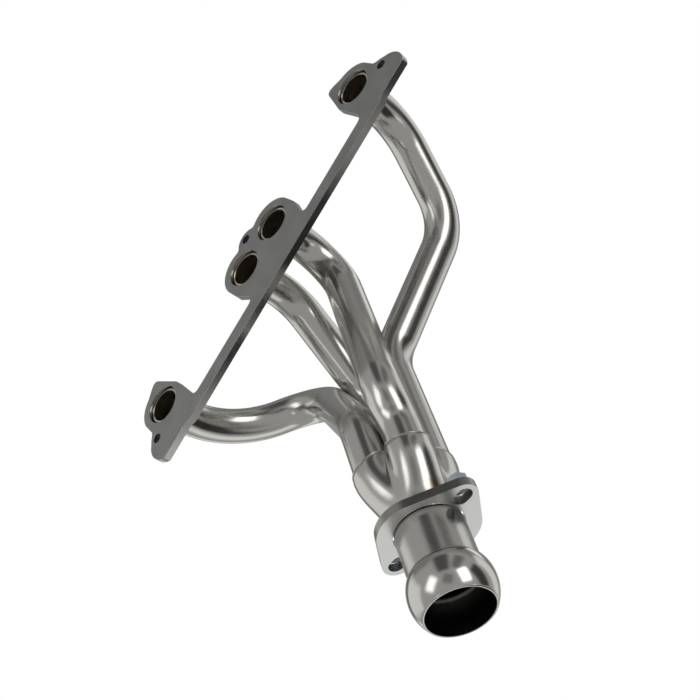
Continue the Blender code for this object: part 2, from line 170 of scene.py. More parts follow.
class FinishSettings(bpy.types.PropertyGroup):
    """Colours of the finishes"""
    steel: FloatVectorProperty(name="Polished steel", description="Colour of the polished tubing",
                               subtype="COLOR", default=(0.66, 0.65, 0.62), min=0.0, max=1.0)
    blasted: FloatVectorProperty(name="Blasted steel", description="Colour of the gasket face",
                                 subtype="COLOR", default=(0.40, 0.40, 0.395), min=0.0, max=1.0)
    cast: FloatVectorProperty(name="Cast steel", description="Colour of the swivel flange",
                              subtype="COLOR", default=(0.80, 0.80, 0.79), min=0.0, max=1.0)
    tint: FloatVectorProperty(name="Heat tint", description="Straw and brown tint beside the welds",
                              subtype="COLOR", default=(0.44, 0.34, 0.24), min=0.0, max=1.0)
    soot: FloatVectorProperty(name="Inner skin", description="Colour inside the tubes",
                              subtype="COLOR", default=(0.84, 0.77, 0.66), min=0.0, max=1.0)
    zinc: FloatVectorProperty(name="Zinc plate", description="Colour of the plated nuts",
                              subtype="COLOR", default=(0.62, 0.70, 0.76), min=0.0, max=1.0)


class StageSettings(bpy.types.PropertyGroup):
    """Floor and light"""
    floor: FloatVectorProperty(name="Floor", description="Colour of the pale floor",
                               subtype="COLOR", default=(0.86, 0.86, 0.86), min=0.0, max=1.0)
    drop: FloatProperty(name="Floor drop", description="Height of the object above the floor",
                        default=1.7, unit="LENGTH")
    light: FloatProperty(name="Light", description="Brightness of the whole studio", default=1.0, min=0.0)


# ---------------------------------------------------------------- numpy surfaces

def unit(vectors):
    """Vectors divided by their own lengths."""
    vectors = np.asarray(vectors, float)
    return vectors / np.linalg.norm(vectors, axis=-1, keepdims=True)


def full_turn(count):
    """Angles of one whole turn in even steps."""
    return np.linspace(0.0, 2 * math.pi, count, endpoint=False)


def outlet_axes():
    """Unit vectors of the outlet: nearest to +Y, sideways, and down the axis out of the mouth."""
    flat = math.sin(OUTLET_TILT)
    down = np.array((flat * math.cos(OUTLET_AZIMUTH), flat * math.sin(OUTLET_AZIMUTH),
                     -math.cos(OUTLET_TILT)))
    away = np.array((0.0, 1.0, 0.0))
    away = unit(away - away.dot(down) * down)
    return away, np.cross(down, away), down


def on_outlet(x, y, height):
    """Places from outlet coordinates: x and y across the axis and the height above the mouth."""
    away, side, down = outlet_axes()
    x, y, height = (np.asarray(part, float)[..., None] for part in (x, y, height))
    return MOUTH_CENTRE + x * away + y * side - height * down


def closed_surface(name, points, wrap_rows=True, uv=None, inner_rows=None):
    """A mesh from a grid of points that closes on itself across its columns.

    Each cell of the grid is one face.  With wrap_rows the last row joins the first.  Faces are
    turned over when the grid encloses a negative volume, so they always point outwards.  Rows
    from inner_rows on take the second material.  The uv gives the map's place of each column
    and of each row.
    """
    rows, columns = points.shape[:2]
    index = np.arange(rows * columns).reshape(rows, columns)
    below = np.roll(index, -1, axis=0)
    after = np.roll(index, -1, axis=1)
    both = np.roll(below, -1, axis=1)
    last = rows if wrap_rows else rows - 1
    quads = np.stack((index, after, both, below), axis=-1)[:last].reshape(-1, 4)
    flat = points.reshape(-1, 3)
    centred = flat - flat.mean(axis=0)
    a, b, c, d = (centred[quads[:, k]] for k in range(4))
    volume = (a * np.cross(b, c)).sum() + (a * np.cross(c, d)).sum()
    order = [0, 1, 2, 3] if volume > 0 else [3, 2, 1, 0]
    quads = quads[:, order]
    mesh = bpy.data.meshes.new(name + "_skin")
    mesh.vertices.add(len(flat))
    mesh.vertices.foreach_set("co", flat.astype(np.float32).ravel())
    mesh.loops.add(quads.size)
    mesh.loops.foreach_set("vertex_index", quads.astype(np.int32).ravel())
    mesh.polygons.add(len(quads))
    mesh.polygons.foreach_set("loop_start", np.arange(0, quads.size, 4, dtype=np.int32))
    if inner_rows is not None:
        slots = np.repeat(np.arange(last) >= inner_rows, columns).astype(np.int32)
        mesh.polygons.foreach_set("material_index", slots)
    mesh.update(calc_edges=True)
    if uv is not None:
        around, along = uv
        around = np.append(around, around[-1] + (around[-1] - around[-2]))
        along = np.append(along, along[-1] + 0.1 * MM)
        row, column = np.divmod(np.arange(last * columns), columns)
        here, ahead = around[column], around[column + 1]
        corner_u = np.stack((here, ahead, ahead, here), axis=-1)
        corner_v = np.stack((along[row], along[row], along[row + 1], along[row + 1]), axis=-1)
        layer = mesh.uv_layers.new(name="Length")
        pairs = np.stack((corner_u[:, order], corner_v[:, order]), axis=-1)
        layer.data.foreach_set("uv", pairs.astype(np.float32).ravel())
    mesh.validate()
    mesh.shade_smooth()
    mesh.set_sharp_from_angle(angle=SKIN_CREASE)
    return mesh


def place(node, mesh, body, slot, *kinds):
    """Put a finished mesh into the scene for the CAD node it stands for, with its finishes."""
    for kind in kinds:
        mesh.materials.append(finish(kind))
    piece = bpy.data.objects.new(node + "_finished", mesh)
    bpy.context.scene.collection.objects.link(piece)
    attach(piece, body)
    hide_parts(node)
    return piece


def bent_line(corners, radii, step=math.radians(2.0)):
    """Points, directions and side vectors of straight runs joined by arcs.

    In a bend the direction turns evenly from one run to the next.  The side vector turns with it
    about the bend's own axis, so the section never twists.
    """
    corners = np.asarray(corners, float)
    heading = unit(corners[1] - corners[0])
    side = unit(np.cross(heading, (0.3, 0.2, 0.93)))
    places, headings, sides = [corners[:1]], [heading[None]], [side[None]]
    for before, corner, after, radius in zip(corners, corners[1:], corners[2:], radii):
        back, ahead = unit(before - corner), unit(after - corner)
        turn = math.pi - math.acos(np.clip(back @ ahead, -1.0, 1.0))
        reach = radius * math.tan(turn / 2)
        start = corner + back * reach
        inward = unit(ahead + back - (ahead + back).dot(heading) * heading)
        axis = np.cross(heading, inward)
        angle = np.linspace(0.0, turn, max(4, int(turn / step)))[:, None]
        places.append(start + radius * (np.sin(angle) * heading + (1 - np.cos(angle)) * inward))
        headings.append(np.cos(angle) * heading + np.sin(angle) * inward)
        turned = (np.cos(angle) * side + np.sin(angle) * np.cross(axis, side)
                  + (1 - np.cos(angle)) * axis.dot(side) * axis)
        sides.append(turned)
        heading, side = headings[-1][-1], turned[-1]
    places.append(corners[-1:])
    headings.append(heading[None])
    sides.append(side[None])
    return np.concatenate(places), np.concatenate(headings), np.concatenate(sides)


def sleeve(line, radius, around):
    """Circles of the given radius about every point of a bent line."""
    places, headings, sides = line
    other = np.cross(headings, sides)
    radius = np.broadcast_to(radius, (len(places), len(around)))[..., None]
    across = (np.cos(around)[None, :, None] * sides[:, None]
              + np.sin(around)[None, :, None] * other[:, None])
    return places[:, None] + radius * across


def along_line(places):
    """Distance run from the first point to each point."""
    steps = np.linalg.norm(np.diff(places, axis=0), axis=1)
    return np.concatenate(([0.0], np.cumsum(steps)))


def hollow_tube(name, line, radius, wall, sides=96):
    """A tube's outer skin down the line and its inner skin back up it, closed at both ends."""
    around = full_turn(sides)
    outer = sleeve(line, radius, around)
    inner = sleeve(line, radius - wall, around)[::-1]
    along = along_line(line[0])
    uv = (around * radius, np.concatenate((along, along[::-1] + 2.0 * along[-1])))
    return closed_surface(name, np.concatenate((outer, inner)), uv=uv, inner_rows=len(outer))


def turned_ring(name, profile, places, around=None, ripple=None, inner_rows=None):
    """A closed profile of radius and height turned about an axis.

    The places function carries x, y and height to the row frame.  A ripple moves the surface in
    and out by an amount for each profile point and angle.
    """
    around = full_turn(192) if around is None else around
    profile = np.asarray(profile, float)
    radius = np.repeat(profile[:, :1], len(around), axis=1)
    height = np.repeat(profile[:, 1:], len(around), axis=1)
    if ripple is not None:
        radius = radius + ripple
        height = height + 0.6 * ripple
    points = places(radius * np.cos(around), radius * np.sin(around), height)
    along = along_line(np.c_[profile, np.zeros(len(profile))])
    uv = (around * profile[:, 0].max(), along)
    return closed_surface(name, points, uv=uv, inner_rows=inner_rows)


def on_port(x):
    """Places about a port's axis: the height is the distance from the gasket face."""
    def carry(across, up, height):
        return np.stack((x + across, height, up), axis=-1)
    return carry


def bead_section(inner, outer, foot, crown, count=9):
    """A quarter-round weld section: from the crown on the inner wall to the foot's outer edge."""
    turn = np.linspace(0.0, math.pi / 2, count)
    radius = inner + (outer - inner) * np.sin(turn)
    height = foot + (crown - foot) * np.cos(turn)
    return np.r_[np.c_[radius, height], [[inner, foot]]]


def bead_ripple(section, around, scallops, depth, phase):
    """Overlapping crescents of a torch weld: a wave round the ring that lags towards its middle.

    The wave fades to nothing at the section's two ends, where the bead meets the metal.
    """
    share = np.linspace(0.0, 1.0, len(section) - 1)[:, None]
    wave = np.abs(np.sin(0.5 * (scallops * around[None] + phase) + 1.1 * np.sin(math.pi * share)))
    swell = 0.25 * np.sin(3.0 * around + phase)[None]
    raised = depth * np.sin(math.pi * share) * (wave - 0.6 + swell)
    return np.concatenate((raised, np.zeros((1, len(around)))))


def swept_bead(name, path, radius, scallops, sides=16):
    """A round bead along a path that swells in even scallops and closes to a point at both ends."""
    heading = unit(np.gradient(path, axis=0))
    side = unit(np.cross(heading, outlet_axes()[2]))
    share = np.linspace(0.0, 1.0, len(path))
    girth = np.clip(1.0 - np.abs(2 * share - 1) ** 14, 0.0, 1.0) ** 0.5
    girth = radius * girth * (1.0 + 0.05 * np.abs(np.sin(math.pi * scallops * share)))
    around = full_turn(sides)
    points = sleeve((path, heading, side), girth[:, None], around)
    uv = (around * radius, along_line(path))
    return merged(closed_surface(name, points, wrap_rows=False, uv=uv))


def merged(mesh, flat_angle=None):
    """Join points that coincide, which closes poles, and dissolve flat faces when asked."""
    work = bmesh.new()
    work.from_mesh(mesh)
    bmesh.ops.remove_doubles(work, verts=work.verts, dist=1e-6)
    if flat_angle is not None:
        bmesh.ops.dissolve_limit(work, angle_limit=flat_angle, verts=work.verts, edges=work.edges)
    work.to_mesh(mesh)
    work.free()
    return mesh


# ---------------------------------------------------------------- shader helpers

def add_node(tree, kind, inputs=None, **settings):
    """A node with its settings, and its inputs linked from sockets or given as values."""
    node = tree.nodes.new(kind)
    for key, value in settings.items():
        setattr(node, key, value)
    for key, value in (inputs or {}).items():
        if isinstance(value, bpy.types.NodeSocket):
            tree.links.new(value, node.inputs[key])
        else:
            node.inputs[key].default_value = value
    return node


def new_group(name, inputs, outputs):
    """An empty shader node group with named sockets: its tree, what it is given and its results."""
    tree = bpy.data.node_groups.new(name, "ShaderNodeTree")
    for label, kind, value in inputs:
        socket = tree.interface.new_socket(name=label, in_out="INPUT", socket_type=kind)
        if value is not None:
            socket.default_value = value
    for label in outputs:
        tree.interface.new_socket(name=label, in_out="OUTPUT", socket_type="NodeSocketFloat")
    given, result = tree.nodes.new("NodeGroupInput"), tree.nodes.new("NodeGroupOutput")
    return tree, given.outputs, result.inputs


def fill_group(tree, name, inputs):
    """A group node whose inputs are linked or set, as its outputs."""
    return add_node(tree, "ShaderNodeGroup", inputs, node_tree=bpy.data.node_groups[name]).outputs


def reckon(tree, operation, *values):
    """The result of a maths node."""
    return add_node(tree, "ShaderNodeMath", dict(enumerate(values)), operation=operation).outputs[0]


def spread(tree, value, limits, target=(0.0, 1.0), curve="LINEAR"):
    """A value carried from one pair of limits to another, and held there."""
    return add_node(tree, "ShaderNodeMapRange", {
        "Value": value, "From Min": limits[0], "From Max": limits[1], "To Min": target[0],
        "To Max": target[1]}, interpolation_type=curve).outputs[0]


def noise(tree, vector, scale, detail, roughness=0.5):
    """The value of a noise texture."""
    return add_node(tree, "ShaderNodeTexNoise", {"Vector": vector, "Scale": scale, "Detail": detail,
                                                 "Roughness": roughness}).outputs["Fac"]


def relief(tree, height, strength, distance, **normal):
    """A normal tilted by the slope of a height."""
    return add_node(tree, "ShaderNodeBump", {"Height": height, "Strength": strength,
                                             "Distance": distance, **normal}).outputs[0]


def build_grain_group():
    """Fine polishing lines: noise stretched along one direction of the piece's own map."""
    tree, given, result = new_group("polishing_grain", [
        ("Vector", "NodeSocketVector", None), ("Across", "NodeSocketFloat", 5000.0),
        ("Along", "NodeSocketFloat", 60.0)], ["Mask"])
    parts = add_node(tree, "ShaderNodeSeparateXYZ", {"Vector": given["Vector"]}).outputs
    stretched = add_node(tree, "ShaderNodeCombineXYZ", {
        "X": reckon(tree, "MULTIPLY", parts["X"], given["Across"]),
        "Y": reckon(tree, "MULTIPLY", parts["Y"], given["Along"])})
    tree.links.new(noise(tree, stretched.outputs[0], 1.0, 3.0, 0.6), result["Mask"])


def build_drift_group():
    """Slow unevenness of a worked surface: soft noise spread between two values."""
    tree, given, result = new_group("surface_drift", [
        ("Vector", "NodeSocketVector", None), ("Scale", "NodeSocketFloat", 30.0),
        ("Low", "NodeSocketFloat", 0.0), ("High", "NodeSocketFloat", 1.0)], ["Mask"])
    clouds = noise(tree, given["Vector"], given["Scale"], 2.0, 0.45)
    mask = spread(tree, clouds, (0.25, 0.75), (given["Low"], given["High"]))
    tree.links.new(mask, result["Mask"])


def build_speckle_group():
    """Grit marks of blasting: fine noise cut off so that only its peaks are left."""
    tree, given, result = new_group("blast_speckle", [
        ("Vector", "NodeSocketVector", None), ("Scale", "NodeSocketFloat", 900.0),
        ("Threshold", "NodeSocketFloat", 0.5)], ["Mask", "Grit"])
    grit = noise(tree, given["Vector"], given["Scale"], 4.0, 0.7)
    upper = reckon(tree, "ADD", given["Threshold"], 0.16)
    tree.links.new(spread(tree, grit, (given["Threshold"], upper)), result["Mask"])
    tree.links.new(grit, result["Grit"])


def build_tint_group():
    """Heat tint: a soft ball of colour about one place, broken up by noise."""
    tree, given, result = new_group("heat_tint", [
        ("Vector", "NodeSocketVector", None), ("Centre", "NodeSocketVector", (0.0, 0.0, 0.0)),
        ("Reach", "NodeSocketFloat", 0.02)], ["Mask"])
    away = add_node(tree, "ShaderNodeVectorMath", {0: given["Vector"], 1: given["Centre"]},
                    operation="DISTANCE")
    share = reckon(tree, "DIVIDE", away.outputs["Value"], given["Reach"])
    shaken = reckon(tree, "MULTIPLY_ADD", noise(tree, given["Vector"], 90.0, 2.0), 0.5, share)
    tree.links.new(spread(tree, shaken, (1.25, 0.3), curve="SMOOTHSTEP"), result["Mask"])


def build_groups():
    """Make each shared effect once."""
    if "polishing_grain" not in bpy.data.node_groups:
        build_grain_group()
        build_drift_group()
        build_speckle_group()
        build_tint_group()


def start_material(name):
    """A material with an empty tree, its Principled shader and its output."""
    build_groups()
    material = bpy.data.materials.new(name)
    material.use_nodes = True
    tree = material.node_tree
    tree.nodes.clear()
    shader = tree.nodes.new("ShaderNodeBsdfPrincipled")
    output = tree.nodes.new("ShaderNodeOutputMaterial")
    tree.links.new(shader.outputs[0], output.inputs[0])
    return material, tree, shader


def blend_colour(tree, mask, first, second):
    """One colour turning into another by a mask."""
    ends = [end if isinstance(end, bpy.types.NodeSocket) else (*end, 1.0) for end in (first, second)]
    return add_node(tree, "ShaderNodeMix", {0: mask, 6: ends[0], 7: ends[1]},
                    data_type="RGBA").outputs[2]


def shade(colour, factor):
    """A colour made lighter or darker."""
    return tuple(min(1.0, part * factor) for part in colour)


def dress(tree, shader, colour, roughness, normal, metallic=1.0):
    """Link a finish's colour, roughness and normal to its shader."""
    for key, socket in (("Base Color", colour), ("Roughness", roughness), ("Normal", normal)):
        tree.links.new(socket, shader.inputs[key])
    shader.inputs["Metallic"].default_value = metallic


def polished_metal(name, colour, rough=(0.14, 0.20), grain=(5200.0, 55.0), waves=0.08, tint=(),
                   metallic=1.0):
    """Polished stainless: lines from the polishing belt, slow waves and a tint where welded."""
    material, tree, shader = start_material(name)
    position = add_node(tree, "ShaderNodeTexCoord").outputs["Object"]
    length = add_node(tree, "ShaderNodeUVMap", uv_map="Length").outputs[0]
    lines = fill_group(tree, "polishing_grain", {"Vector": length, "Across": grain[0],
                                                 "Along": grain[1]})["Mask"]
    drift = fill_group(tree, "surface_drift", {"Vector": position, "Scale": 34.0})["Mask"]
    patches = fill_group(tree, "surface_drift", {"Vector": position, "Scale": 95.0})["Mask"]
    body = blend_colour(tree, lines, shade(colour, 0.94), shade(colour, 1.04))
    for centre, reach, shadow in tint:
        spot = fill_group(tree, "heat_tint", {"Vector": position, "Centre": centre, "Reach": reach})
        body = blend_colour(tree, spot["Mask"], body, shadow)
    gloss = reckon(tree, "MULTIPLY_ADD", patches, 0.05, spread(tree, lines, (0.3, 0.7), rough))
    waved = relief(tree, drift, waves, 1.2 * MM)
    dress(tree, shader, body, gloss, relief(tree, lines, 0.05, 0.06 * MM, Normal=waved), metallic)
    return material


def gritty_metal(name, colour, rough, grit_scale, grit_depth, spots, metallic=1.0):
    """Blasted or cast metal: grit marks, light patches and small dark specks."""
    material, tree, shader = start_material(name)
    position = add_node(tree, "ShaderNodeTexCoord").outputs["Object"]
    grit = fill_group(tree, "blast_speckle", {"Vector": position, "Scale": grit_scale,
                                              "Threshold": 0.58})
    clouds = fill_group(tree, "surface_drift", {"Vector": position, "Scale": 42.0})["Mask"]
    body = blend_colour(tree, clouds, shade(colour, 0.90), shade(colour, 1.08))
    speck = reckon(tree, "MULTIPLY", grit["Mask"], spots)
    body = blend_colour(tree, speck, body, shade(colour, 0.45))
    gloss = spread(tree, clouds, (0.0, 1.0), rough)
    dress(tree, shader, body, gloss, relief(tree, grit["Grit"], 0.5, grit_depth), metallic)
    return material


def worn_edge(name, colour, rough):
    """A plate's sawn and polished edge: fine lines that run round the plate."""
    material, tree, shader = start_material(name)
    position = add_node(tree, "ShaderNodeTexCoord").outputs["Object"]
    lines = add_node(tree, "ShaderNodeMapping", {"Vector": position, "Scale": (60.0, 4200.0, 60.0)})
    scratches = noise(tree, lines.outputs[0], 1.0, 3.0)
    drift = fill_group(tree, "surface_drift", {"Vector": position, "Scale": 60.0})["Mask"]
    body = blend_colour(tree, scratches, shade(colour, 0.86), shade(colour, 1.05))
    gloss = spread(tree, drift, (0.0, 1.0), rough)
    dress(tree, shader, body, gloss, relief(tree, scratches, 0.2, 0.05 * MM))
    return material


# ---------------------------------------------------------------- finishes of this object

def finish(kind):
    """The material for one of the object's finishes, made the first time it is asked for."""
    if kind in bpy.data.materials:
        return bpy.data.materials[kind]
    colours = bpy.context.scene.manifold_finish
    steel, blasted, cast, tint, soot, zinc = (
        tuple(getattr(colours, key)) for key in ("steel", "blasted", "cast", "tint", "soot", "zinc"))
    browned = (tuple(on_outlet(*HEAT_SPOT)), HEAT_REACH, tint)
    maker, colour, settings = {
        "polished_tube": (polished_metal, steel, {}),
        "polished_collector": (polished_metal, steel, {
            "rough": (0.14, 0.21), "waves": 0.14, "tint": (browned,)}),
        "polished_ball": (polished_metal, steel, {
            "rough": (0.10, 0.15), "grain": (40.0, 6500.0), "waves": 0.05}),
        "satin_pipe": (polished_metal, shade(steel, 0.96), {
            "rough": (0.17, 0.24), "grain": (60.0, 9000.0), "waves": 0.12}),
        "inner_skin": (polished_metal, soot, {
            "rough": (0.10, 0.15), "waves": 1.6, "metallic": 0.97}),
        # A dark copy of the steel inside the collector, outlet pipe and ball: painted shade in the bore.
        "outlet_bore": (polished_metal, shade(steel, 0.28), {"rough": (0.3, 0.42), "waves": 0.3}),
        "weld_bead": (polished_metal, shade(steel, 0.9), {
            "rough": (0.14, 0.26), "grain": (900.0, 900.0), "waves": 0.4}),
        "gasket_face": (gritty_metal, blasted, {
            "rough": (0.42, 0.52), "grit_scale": 1500.0, "grit_depth": 0.08 * MM, "spots": 0.25}),
        # A darkened copy of the blasted steel for the holes' walls: painted shade.
        "drilled_wall": (gritty_metal, shade(blasted, 0.3), {
            "rough": (0.45, 0.6), "grit_scale": 1500.0, "grit_depth": 0.06 * MM, "spots": 0.2}),
        "cast_face": (gritty_metal, cast, {
            "rough": (0.26, 0.36), "grit_scale": 1100.0, "grit_depth": 0.08 * MM, "spots": 0.30,
            "metallic": 0.85}),
        "zinc": (gritty_metal, zinc, {
            "rough": (0.22, 0.32), "grit_scale": 1800.0, "grit_depth": 0.03 * MM, "spots": 0.1}),
        "plate_edge": (worn_edge, shade(steel, 0.7), {"rough": (0.16, 0.26)}),
        # A lighter copy of the steel on the plates' rounded edges: a painted highlight along them.
        "rubbed_arris": (worn_edge, shade(steel, 1.2), {"rough": (0.30, 0.42)}),
        "cast_edge": (worn_edge, shade(steel, 0.62), {"rough": (0.24, 0.36)}),
    }[kind]
    return maker(kind, colour, **settings)


# ---------------------------------------------------------------- pieces

def face_values(mesh, key, width):
    """One attribute of every face, a row for each face."""
    values = np.empty(len(mesh.polygons) * width, np.float32)
    mesh.polygons.foreach_get(key, values)
    return values.reshape(-1, width)


def plate_piece(node, body, slot, face_finish, edge_finish, round_over, drilled=()):
    """A plate from a merged copy of its CAD node, with rounded edges and its own edge finish; the
    rounding takes a lighter copy of the steel, a painted highlight.

    The walls of the holes at the drilled places, across X and Z, take a darkened colour: painted shade in
    the holes.
    """
    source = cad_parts[node].data.copy()
    source.name = node + "_plate"
    source.materials.clear()
    mesh = merged(source, flat_angle=math.radians(1.0))
    finishes = (face_finish, edge_finish, "rubbed_arris", "drilled_wall")
    normals = face_values(mesh, "normal", 3)
    facing = normals[np.argmax(face_values(mesh, "area", 1))]
    is_edge = np.abs(normals @ facing) < 0.9
    slots = is_edge.astype(np.int32)
    across = face_values(mesh, "center", 3)[:, [0, 2]]
    # Hole walls near the stud places take the darkened finish: painted shade in the holes.
    for middle in drilled:
        is_near = np.linalg.norm(across - middle, axis=1) < STUD_RADIUS + GAP
        slots[is_edge & is_near] = finishes.index("drilled_wall")
    mesh.polygons.foreach_set("material_index", slots)
    mesh.shade_smooth()
    mesh.set_sharp_from_angle(angle=PLATE_CREASE)
    piece = place(node, mesh, body, slot, *finishes)
    rounding = piece.modifiers.new("rounded_edges", "BEVEL")
    rounding.width = round_over
    rounding.segments = 3
    rounding.limit_method = "ANGLE"
    rounding.angle_limit = ROUNDED_CORNER
    rounding.harden_normals = True
    # The rounding takes the lighter steel: a painted highlight along the plate's edges.
    rounding.material = finishes.index("rubbed_arris")
    return piece


def lobe_place(index):
    """Centre of a lobe across the outlet axis.  Index 0 to 3 goes round the axis."""
    angle = LOBE_CLOCK + index * math.pi / 2
    return (LOBE_CIRCLE * math.cos(angle) - LOBE_OFFSET * math.cos(OFFSET_CLOCK),
            LOBE_CIRCLE * math.sin(angle) - LOBE_OFFSET * math.sin(OFFSET_CLOCK))


def runner_line(number):
    """The bent line of one runner: out of its port, round three bends and into its lobe."""
    lobe, first, second, third, radii = RUNNERS[number]
    x = PORT_X[number]
    across, aside = lobe_place(lobe)
    corners = [(x, TUBE_SETBACK, 0.0), (x, PLATE_BACK + first * MM, 0.0), np.array(second) * MM,
               on_outlet(across, aside, GATHER_HEIGHT + third * MM), on_outlet(across, aside, TUBE_END)]
    return bent_line(corners, np.array(radii) * MM)


def rim_height(from_lobe):
    """The collector's rim: lowest over a lobe's crown, rising with the square of the angle."""
    return RIM_CROWN + RIM_RISE * (from_lobe / HALF_LOBE) ** 2


def collector_skin(is_outer, levels, per_lobe=48):
    """One skin of the collector on a grid of depth below the rim and angle round the axis.

    At the rim the radius is that of four circles seen from the middle.  Down the cone it fades
    by a smooth step into the neck's circle, and the creases between the lobes soften with depth.
    """
    sizes = bpy.context.scene.manifold_tubing
    bore = sizes.runner_radius + LOBE_FIT
    reach = HALF_LOBE + math.asin(LOBE_CIRCLE * math.sin(HALF_LOBE) / bore)
    round_lobe = reach * (2.0 * np.arange(per_lobe) / per_lobe - 1.0)
    from_lobe = np.arctan2(bore * np.sin(round_lobe), LOBE_CIRCLE + bore * np.cos(round_lobe))
    angle = LOBE_CLOCK + np.concatenate([from_lobe + 2 * lobe * HALF_LOBE for lobe in range(4)])
    from_lobe = np.tile(from_lobe, 4)[None]
    rim = rim_height(from_lobe)
    level = rim + (PIPE_TOP + GAP - rim) * levels[:, None]
    share = np.clip((LOBE_END - level) / (LOBE_END - NECK_HEIGHT), 0.0, 1.0)
    share = 1.0 - share * share * (3.0 - 2.0 * share)
    soften = 0.012 + 0.16 * np.clip((rim - level) / CREASE_REACH, 0.0, 1.0)
    to_cusp = HALF_LOBE - np.abs(from_lobe)
    softened = HALF_LOBE - np.sqrt(to_cusp**2 + (soften * (1 - to_cusp / HALF_LOBE)) ** 2)
    rolled = RIM_ROLL * np.clip(1.0 - (rim - level) / ROLL_REACH, 0.0, 1.0) ** 2
    radius = bore + (sizes.wall - rolled if is_outer else 0.0)
    lobed = LOBE_CIRCLE * np.cos(softened) + np.sqrt(radius**2 - (LOBE_CIRCLE * np.sin(softened)) ** 2)
    neck = NECK_RADIUS - (0.0 if is_outer else sizes.wall)
    radius = share * lobed + (1.0 - share) * neck
    x = radius * np.cos(angle) - LOBE_OFFSET * share * math.cos(OFFSET_CLOCK)
    y = radius * np.sin(angle) - LOBE_OFFSET * share * math.sin(OFFSET_CLOCK)
    return on_outlet(x, y, level), angle


def ball_section(radius, collar, wall):
    """The ball's outer and inner section: a rounded shoulder, a sphere and a rounded lip.

    The shoulder is a quadratic curve from the collar to the sphere.
    """
    def skin(size, neck, mouth):
        shoulder = math.sqrt(size**2 - (BALL_SHOULDER - BALL_CENTRE) ** 2)
        t = np.linspace(0.0, 1.0, 8)[:-1, None]
        start = np.array((neck, BALL_TOP))
        middle = np.array((neck * 0.28 + shoulder * 0.72, BALL_TOP - 0.6 * MM))
        end = np.array((shoulder, BALL_SHOULDER))
        curve = (1 - t) ** 2 * start + 2 * t * (1 - t) * middle + t**2 * end
        high = math.asin((BALL_SHOULDER - BALL_CENTRE) / size)
        low = -math.asin((BALL_CENTRE - mouth) / size)
        turn = np.linspace(high, low, 40)
        return np.r_[curve, np.c_[size * np.cos(turn), BALL_CENTRE + size * np.sin(turn)]]
    outer = skin(radius, collar, 0.45 * MM)
    inner = skin(radius - wall, collar - wall, 0.25 * MM)
    rim = math.sqrt(radius**2 - BALL_CENTRE**2)
    lip = np.array(((rim - 0.12 * MM, 0.16 * MM), (rim - 0.45 * MM, 0.0), (rim - wall + 0.35 * MM, 0.0)))
    return np.r_[outer, lip, inner[::-1]], len(outer) + 2


def hex_nut(name, centre, sign):
    """A hexagon nut on a grid of section row and angle.

    Outside, the radius is the flat's distance over the cosine of the angle from it, cut back near
    both ends by a chamfer cone.  Inside, it is a helix: a triangle wave of height and angle.
    """
    around = full_turn(120)
    from_flat = (around + math.pi / 6) % (math.pi / 3) - math.pi / 6
    flat = NUT_ACROSS_FLATS / 2 / np.cos(from_flat)
    height = NUT_THICKNESS * np.concatenate((np.linspace(0.0, 0.14, 8), np.linspace(0.3, 0.7, 3),
                                             np.linspace(0.86, 1.0, 8)))
    end = np.minimum(height, NUT_THICKNESS - height)[:, None]
    outside = np.minimum(flat, NUT_ACROSS_FLATS / 2 * 0.96 + end * 1.7)
    thread_height = NUT_THICKNESS * np.linspace(1.0, 0.0, 72)
    wave = (thread_height[:, None] / THREAD_PITCH + around[None] / (2 * math.pi)) % 1.0
    deep = THREAD_DEPTH * np.abs(2 * wave - 1.0)
    from_end = np.minimum(thread_height, thread_height[::-1])
    flare = THREAD_FLARE * np.clip(1 - from_end / THREAD_FLARE, 0, 1)
    inside = NUT_BORE + np.maximum(deep, flare[:, None])
    radius = np.concatenate((outside, inside))
    level = SWIVEL_BACK + GAP + np.concatenate((height, thread_height))[:, None]
    x = sign * centre[0] + radius * np.cos(around)
    y = sign * centre[1] + radius * np.sin(around)
    turned_x = x * math.cos(SWIVEL_CLOCK) - y * math.sin(SWIVEL_CLOCK)
    turned_y = x * math.sin(SWIVEL_CLOCK) + y * math.cos(SWIVEL_CLOCK)
    points = on_outlet(turned_x, turned_y, np.broadcast_to(level, radius.shape))
    return closed_surface(name, points, uv=(around * 8.0 * MM, np.arange(len(radius)) * 0.3 * MM))


# ---------------------------------------------------------------- operators

class MANIFOLD_OT_head_flange(bpy.types.Operator):
    """Build the plate that bolts to the cylinder head"""
    bl_idname = "manifold.head_flange"
    bl_label = "Head flange"

    def execute(self, context):
        plate_piece("head_flange", ROOT, "blasted_steel", "gasket_face", "plate_edge",
                    context.scene.manifold_tubing.edge_round, STUD_PLACES)
        return {"FINISHED"}


class MANIFOLD_OT_runners(bpy.types.Operator):
    """Build the four bent runners"""
    bl_idname = "manifold.runners"
    bl_label = "Runners"

    def execute(self, context):
        sizes = context.scene.manifold_tubing
        for number in range(4):
            name = f"primary_tube_{number + 1}"
            mesh = hollow_tube(name, runner_line(number), sizes.runner_radius, sizes.wall)
            place(name, mesh, ROOT, "polished_stainless", "polished_tube", "inner_skin")
        return {"FINISHED"}


class MANIFOLD_OT_port_welds(bpy.types.Operator):
    """Build the weld inside each port and the fillet behind the plate"""
    bl_idname = "manifold.port_welds"
    bl_label = "Port welds"

    def execute(self, context):
        bore = context.scene.manifold_tubing.runner_radius + GAP
        around = full_turn(360)
        foot = PLATE_BACK + GAP
        seal = bead_section(bore, PORT_RADIUS - GAP, PLATE_BACK - SEAL_LAP, TUBE_SETBACK)
        fillet = bead_section(bore, bore + FILLET_LEG, foot, foot + FILLET_LEG)
        for number, x in enumerate(PORT_X, start=1):
            dimples = -0.3 * np.abs(bead_ripple(seal, around, 40, 0.18 * MM, number))
            ripple = bead_ripple(fillet, around, 44, 0.4 * MM, 2 * number)
            for name, section, raised in ((f"port_seal_weld_{number}", seal, dimples),
                                          (f"port_fillet_weld_{number}", fillet, ripple)):
                mesh = turned_ring(name, section, on_port(x), around, raised)
                place(name, mesh, ROOT, "weld_metal", "weld_bead")
        return {"FINISHED"}


